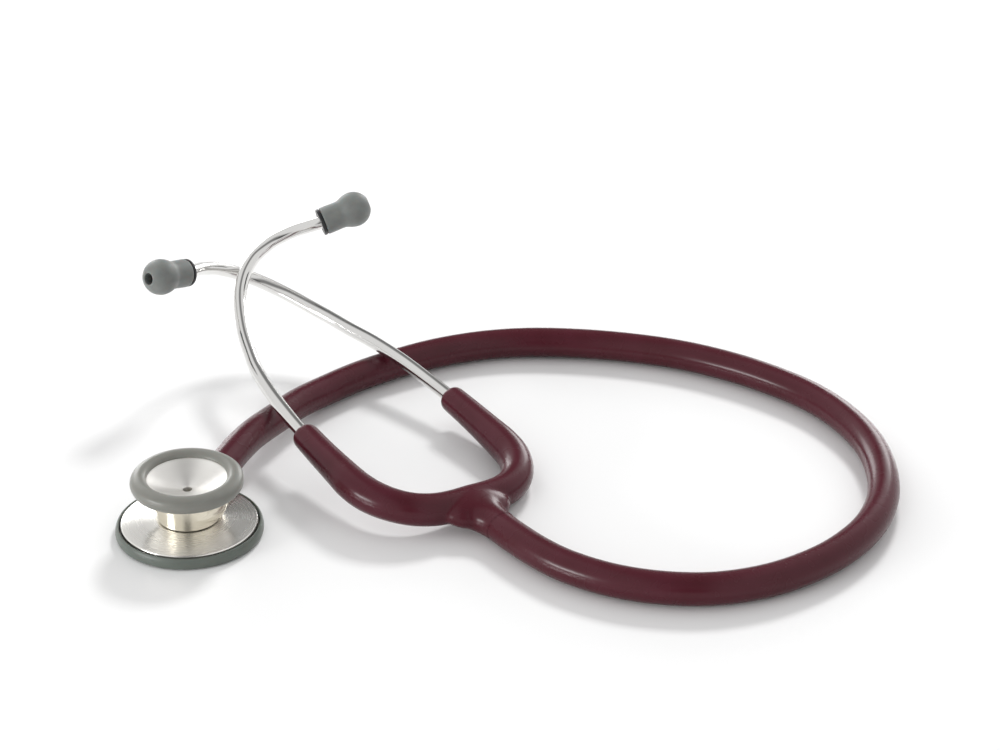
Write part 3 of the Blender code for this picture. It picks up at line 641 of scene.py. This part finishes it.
def make_yoke():
    """Base, on the tubing, and two sleeves cut off where the arms spring apart."""
    fork = make_fork()
    cut = Vector((BASE_CUT, 0, 0))
    tail_end = Vector((-TAIL_LENGTH, 0, 0))
    base = cut_piece(fork.data, "yoke", [(cut, (-1, 0, 0)), (tail_end, (1, 0, 0))])
    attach(base, "tubing")
    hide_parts("yoke_base")
    for name, side in SIDE.items():
        arm = cut_piece(fork.data, f"arm_sleeve_{name}",
                        [(cut, (1, 0, 0)), ((0, 0, 0), (0, side, 0))])
        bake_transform(arm)
        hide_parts(f"yoke_arm_{name}")
    bpy.data.objects.remove(fork, do_unlink=True)


make_yoke()

# ---------------------------------------------------------------- chestpiece

UPRIGHT = Matrix.Translation(HEAD)
TO_STEM = (Matrix.Translation((0, 0, STEM_HEIGHT)) @ Matrix.Rotation(STEM_HEADING, 4, "Z")
           @ Matrix.Rotation(math.pi / 2, 4, "Y"))


def make_diaphragm_side():
    """Soft rim, resin disc and steel flange, with a dark gap between flange and rim."""
    turned("rim", [
        (0.02060, 0.0), (0.02060, 0.00100), (0.02275, 0.00100), (0.02275, 0.00375),
        (0.02320, 0.00385), (0.02375, 0.00300), (0.02400, 0.00160), (0.02390, 0.00045),
        (0.02320, 0.0),
    ], 160, UPRIGHT, RIM_RUBBER, "chestpiece", "diaphragm_rim", edge=0.00055)
    turned("diaphragm_disc", [
        (0.0, 0.0016), (0.02244, 0.0016), (0.02244, 0.0013), (0.0, 0.0013),
    ], 120, UPRIGHT, RESIN, "chestpiece", "diaphragm", closed=False, edge=0.00008)
    turned("flange", [
        (0.0015, 0.0056), (0.0107, 0.0056), (0.0111, 0.0055), (0.0150, 0.00504),
        (0.0190, 0.00456), (0.02185, 0.00421), (0.02212, 0.00400), (0.02212, 0.0019),
        (0.0210, 0.0019), (0.0110, 0.0026), (0.0015, 0.0030),
    ], 192, UPRIGHT, FLANGE_STEEL, "chestpiece", "diaphragm_housing", edge=0.00022)


def make_bell_side():
    """Steel dish and the soft ring that grips its edge."""
    turned("bell", [
        (0.0015, 0.0159), (0.0060, 0.01735), (0.0100, 0.01875), (0.0120, 0.0196),
        (0.0128, 0.0200), (0.0162, 0.0202), (0.0162, 0.0172), (0.0140, 0.0163),
        (0.0104, 0.0139), (0.0097, 0.0133), (0.0015, 0.0133),
    ], 160, UPRIGHT, DISH_STEEL, "chestpiece", "bell_cup", edge=0.00030)
    turned("bell_ring_soft", [
        (0.01290, 0.01990), (0.01292, 0.02050), (0.01345, 0.02135), (0.01445, 0.02190),
        (0.01560, 0.02195), (0.01690, 0.02150), (0.01790, 0.02070), (0.01835, 0.01935),
        (0.01820, 0.01810), (0.01760, 0.01710), (0.01690, 0.01675), (0.01645, 0.01690),
        (0.01645, 0.02045), (0.01325, 0.02035),
    ], 160, UPRIGHT, RING_RUBBER, "chestpiece", "bell_ring", edge=0.00060)


def bore(name, radius, start, end, steps, matrix):
    """A round bar that cuts a bore."""
    outline = [(0.0, end), (radius, end), (radius, start), (0.0, start)]
    return helper(name, turned_mesh(name, outline, steps, matrix, False))


def make_drum():
    """Bright drum that swells round the stem's bearing, with its bores cut in."""
    low, high = 0.0059, 0.0130
    radius = 0.0102
    steps = 144
    barrel = turned_mesh("drum", rounded([
        (0.0, high), (radius - 0.0003, high), (radius, high - 0.0003), (radius, low + 0.0003),
        (radius - 0.0003, low), (0.0, low),
    ], 0.0001), steps, Matrix.Identity(4), closed=False)
    drum = link("drum", barrel, DRUM_STEEL)
    rows = [index / 16 for index in range(17)]
    side = [(radius - 0.0001 + 0.00165 * math.sin(math.pi * t),
             high - 0.0003 - t * (high - low - 0.0006)) for t in rows]
    shift = (Matrix.Rotation(STEM_HEADING, 4, "Z") @ Matrix.Translation((0.0019, 0, 0)))
    boss = helper("boss", turned_mesh("boss", [(0.0, side[0][1])] + side + [(0.0, side[-1][1])],
                                      steps, shift, closed=False))
    groove = TO_STEM @ Matrix.Translation((0, 0, 0.0050)) @ Matrix.Rotation(-math.pi / 2, 4, "X")
    bearing = bore("bearing", 0.0026, -0.0088, 0.02, 48, TO_STEM)
    passage = bore("passage", 0.0015, 0.004, 0.015, 32, Matrix.Identity(4))
    detent = bore("detent", 0.0013, 0.0, 0.016, 32, groove)
    for tool, operation in ((boss, "UNION"), (bearing, "DIFFERENCE"),
                            (passage, "DIFFERENCE"), (detent, "DIFFERENCE")):
        cut = drum.modifiers.new(tool.name, "BOOLEAN")
        cut.operation = operation
        cut.solver = "EXACT"
        cut.object = tool
    apply_modifiers(drum)
    for tool in (boss, bearing, passage, detent):
        bpy.data.objects.remove(tool, do_unlink=True)
    drum.data.transform(UPRIGHT)
    sharpen(drum.data, 30)
    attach(drum, "chestpiece")
    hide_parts("valve_drum")


def make_stem():
    """Hollow stem: shoulder against the tubing, collar, bearing, and its two grooves."""
    turned("stem", [
        (0.0011, -0.0078), (0.0011, 0.0257), (0.0038, 0.0257), (0.0042, 0.0253),
        (0.0042, 0.0243), (0.0030, 0.0233), (0.0030, 0.0163), (0.0037, 0.0157),
        (0.0037, 0.01395), (0.0023, 0.01395), (0.0023, 0.0063), (0.00195, 0.0060),
        (0.00195, 0.0040), (0.0023, 0.0037), (0.0023, -0.0050), (0.0018, -0.0051),
        (0.0018, -0.0063), (0.0023, -0.0064), (0.0023, -0.0079), (0.0019, -0.0082),
    ], 64, UPRIGHT @ TO_STEM, DRUM_STEEL, "tubing", "valve_stem", edge=0.00012)


make_diaphragm_side()
make_bell_side()
make_drum()
make_stem()

# ---------------------------------------------------------------- binaurals

def drawn_tube_tree():
    """Geometry Nodes: a round tube along its path, with open ends."""
    tree = bpy.data.node_groups.new("drawn_tube", "GeometryNodeTree")
    face = tree.interface
    face.new_socket("Geometry", in_out="INPUT", socket_type="NodeSocketGeometry")
    for name, value in (("Outer Radius", 0.002), ("Ring Spacing", 0.001)):
        face.new_socket(name, in_out="INPUT", socket_type="NodeSocketFloat").default_value = value
    face.new_socket("Sides", in_out="INPUT", socket_type="NodeSocketInt").default_value = 32
    face.new_socket("Metal", in_out="INPUT", socket_type="NodeSocketMaterial")
    face.new_socket("Geometry", in_out="OUTPUT", socket_type="NodeSocketGeometry")
    entry = node(tree, "NodeGroupInput").outputs
    path = node(tree, "GeometryNodeResampleCurve", {"mode": "LENGTH"}, Curve=entry["Geometry"],
                Length=entry["Ring Spacing"])
    circle = node(tree, "GeometryNodeCurvePrimitiveCircle", Resolution=entry["Sides"],
                  Radius=entry["Outer Radius"])
    swept = node(tree, "GeometryNodeCurveToMesh", Curve=path.outputs["Curve"],
                 Profile_Curve=circle.outputs["Curve"])
    smooth = node(tree, "GeometryNodeSetShadeSmooth", Geometry=swept.outputs["Mesh"])
    real = node(tree, "GeometryNodeRealizeInstances", Geometry=smooth.outputs["Geometry"])
    metal = node(tree, "GeometryNodeSetMaterial", Geometry=real.outputs["Geometry"],
                 Material=entry["Metal"])
    node(tree, "NodeGroupOutput", Geometry=metal.outputs["Geometry"])
    return tree


def run_tree(item, tree, **values):
    """Runs a tree on an object with its inputs set by identifier."""
    step = item.modifiers.new(tree.name, "NODES")
    step.node_group = tree
    for socket in tree.interface.items_tree:
        if socket.in_out == "INPUT" and socket.name in values:
            step[socket.identifier] = values[socket.name]


def binaural_frames(name):
    """The tube's centre line in its own axes, with the eartip's seat and aim."""
    side = SIDE[name]
    hole = aim((ARM_LENGTH, -side * ARM_LEAN, 0.0), (ARM_LENGTH, -2 * side * ARM_LEAN, 0.0))
    inverse = hole.inverted()

    def place(point):
        forward, inward, up = point
        return inverse @ Vector((ARM_LENGTH + forward, -side * (ARM_LEAN + inward), up))

    along = [Vector((0, 0, -0.014)), Vector((0, 0, -0.007)), Vector((0, 0, 0))]
    along += [place(point) for point in BEND]
    tip = place(TIP_PLACE)
    direction = Vector((TIP_AIM[0], -side * TIP_AIM[1], TIP_AIM[2])).normalized()
    direction = (inverse.to_3x3() @ direction).normalized()
    along += [tip, tip + direction * (COLLAR_THICK + 0.0060)]
    world = arm_matrix(name) @ hole @ Matrix.Rotation(-TWIST[name], 4, "Z")
    return along, tip, direction, world


def make_binaurals():
    """The two bent steel tubes, with their wall, and what is on their tips."""
    tree = drawn_tube_tree()
    for name in SIDE:
        along, tip, direction, world = binaural_frames(name)
        data = bpy.data.curves.new("path", "CURVE")
        data.dimensions = "3D"
        line = data.splines.new("POLY")
        points = spline(along, 0.0009)
        line.points.add(len(points) - 1)
        for index, point in enumerate(points):
            line.points[index].co = (*point, 1.0)
        path = helper(f"steel_tube_{name}", data)
        run_tree(path, tree, **{"Outer Radius": BINAURAL_RADIUS, "Ring Spacing": 0.0011,
                                "Sides": 40, "Metal": TUBE_STEEL})
        tube = apply_modifiers(path)
        tube.data.transform(world)
        wall = tube.modifiers.new("wall", "SOLIDIFY")
        wall.thickness = STEEL_WALL
        wall.offset = -1.0
        shape = bmesh.new()
        shape.from_mesh(tube.data)
        bmesh.ops.recalc_face_normals(shape, faces=shape.faces)
        shape.to_mesh(tube.data)
        shape.free()
        apply_modifiers(tube)
        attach(tube, f"binaural_{name}")
        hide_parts(f"binaural_{name}")
        make_eartip(name, world @ aim(tip, direction))


def make_eartip(name, seat):
    """Black adaptor, and over it the eartip: straight skirt, slight neck and round bulb."""
    turned(f"adaptor_{name}", [
        (0.00268, 0.0), (0.00268, 0.0086), (0.0032, 0.0086), (0.0035, 0.0083),
        (0.0035, 0.0011), (0.0048, 0.0011), (0.0049, 0.0009), (0.0049, 0.0002), (0.0047, 0.0),
    ], 64, seat, NYLON, f"binaural_{name}", f"eartip_adaptor_{name}", edge=0.0002)
    base = COLLAR_THICK + GAP
    radii = [(0.0, 4.80), (0.25, 4.97), (3.0, 4.98), (5.2, 4.92), (6.6, 4.96), (7.6, 5.25),
             (8.7, 5.72), (10.0, 6.12), (11.4, 6.30), (12.8, 6.18), (14.2, 5.75), (15.4, 5.02),
             (16.4, 4.05), (17.1, 3.05), (17.4, 2.45), (17.3, 2.10), (16.8, 2.0)]
    outline = [(r * MM, base + s * MM) for s, r in radii]
    outline += [(0.0020, base + 0.0098), (0.0038, base + 0.0081), (0.0038, base)]
    smooth = [(point.x, point.z) for point in
              spline([Vector((r, 0, z)) for r, z in outline[:-3]], 0.00045)]
    turned(f"eartip_soft_{name}", smooth + outline[-3:], 96, seat, TIP_SILICONE,
           f"eartip_{name}", f"eartip_{name}", edge=0.0001)


make_binaurals()

# ---------------------------------------------------------------- carried-over pieces

for kept in ("stem_snap_ring", "detent_ball", "detent_spring", "detent_set_screw",
             "leaf_spring_left", "leaf_spring_right"):
    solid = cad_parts[kept]
    if solid.material_slots:
        for entry in solid.material_slots:
            entry.material = SPRING_STEEL
    else:
        solid.data.materials.append(SPRING_STEEL)

# ---------------------------------------------------------------- studio

def make_floor():
    """White sheet just under the rim."""
    mesh = bpy.data.meshes.new("floor")
    shape = bmesh.new()
    bmesh.ops.create_grid(shape, x_segments=1, y_segments=1, size=6.0)
    shape.to_mesh(mesh)
    shape.free()
    mesh.transform(Matrix.Translation((0, 0, -0.00015)))
    sheet = surface("white_acrylic_sheet", "#f4f4f4", Roughness=0.16, IOR=1.45)[0]
    link("floor", mesh, sheet)


def softbox(name, place, target, width, height, power, mirrored=True):
    """A rectangular lamp aimed at the target, with or without its reflection in glossy skins."""
    data = bpy.data.lights.new(name, "AREA")
    data.shape = "RECTANGLE"
    data.size = width
    data.size_y = height
    data.energy = power
    lamp = bpy.data.objects.new(name, data)
    bpy.context.scene.collection.objects.link(lamp)
    lamp.location = place
    lamp.visible_glossy = mirrored
    away = Vector(place) - Vector(target)
    lamp.rotation_euler = away.to_track_quat("Z", "Y").to_euler()


def make_studio():
    """Floor, surroundings and lamps."""
    make_floor()
    world = bpy.data.worlds.new("studio")
    bpy.context.scene.world = world
    world.use_nodes = True
    tree = world.node_tree
    back = tree.nodes["Background"]
    # White haze at the horizon, bright walls to both sides and a dim gap between them.
    way = node(tree, "ShaderNodeTexCoord").outputs["Generated"]
    split = node(tree, "ShaderNodeSeparateXYZ", Vector=way).outputs
    gap = ramp(tree, split["Z"], [(0.0, linear("#f2f2f2")), (0.09, linear("#f2f2f2")),
                                  (0.17, linear("#585858")), (0.42, linear("#606060")),
                                  (0.62, linear("#8a8a8a"))])
    across = node(tree, "ShaderNodeMath", {"operation": "ABSOLUTE"}, Value=split["X"])
    side = node(tree, "ShaderNodeMapRange", values={"From Min": 0.10, "From Max": 0.30},
                Value=across.outputs["Value"])
    both = node(tree, "ShaderNodeMixRGB", values={"Color2": linear("#f4f4f4")},
                Fac=side.outputs["Result"], Color1=gap)
    tree.links.new(both.outputs["Color"], back.inputs["Color"])
    back.inputs["Strength"].default_value = 1.02
    middle = (0.03, 0.0, 0.0)
    softbox("back key", (0.42, 1.25, 1.05), middle, 0.34, 0.26, 16.5, False)
    softbox("left window", (-1.10, -0.66, 0.25), middle, 0.55, 0.16, 8.0)
    softbox("right wall", (0.62, 1.25, 0.36), middle, 0.5, 0.45, 3.5)
    softbox("left wall", (-0.62, 1.25, 0.36), middle, 0.5, 0.45, 3.5)
    bpy.context.scene.view_settings.view_transform = "Standard"


make_studio()
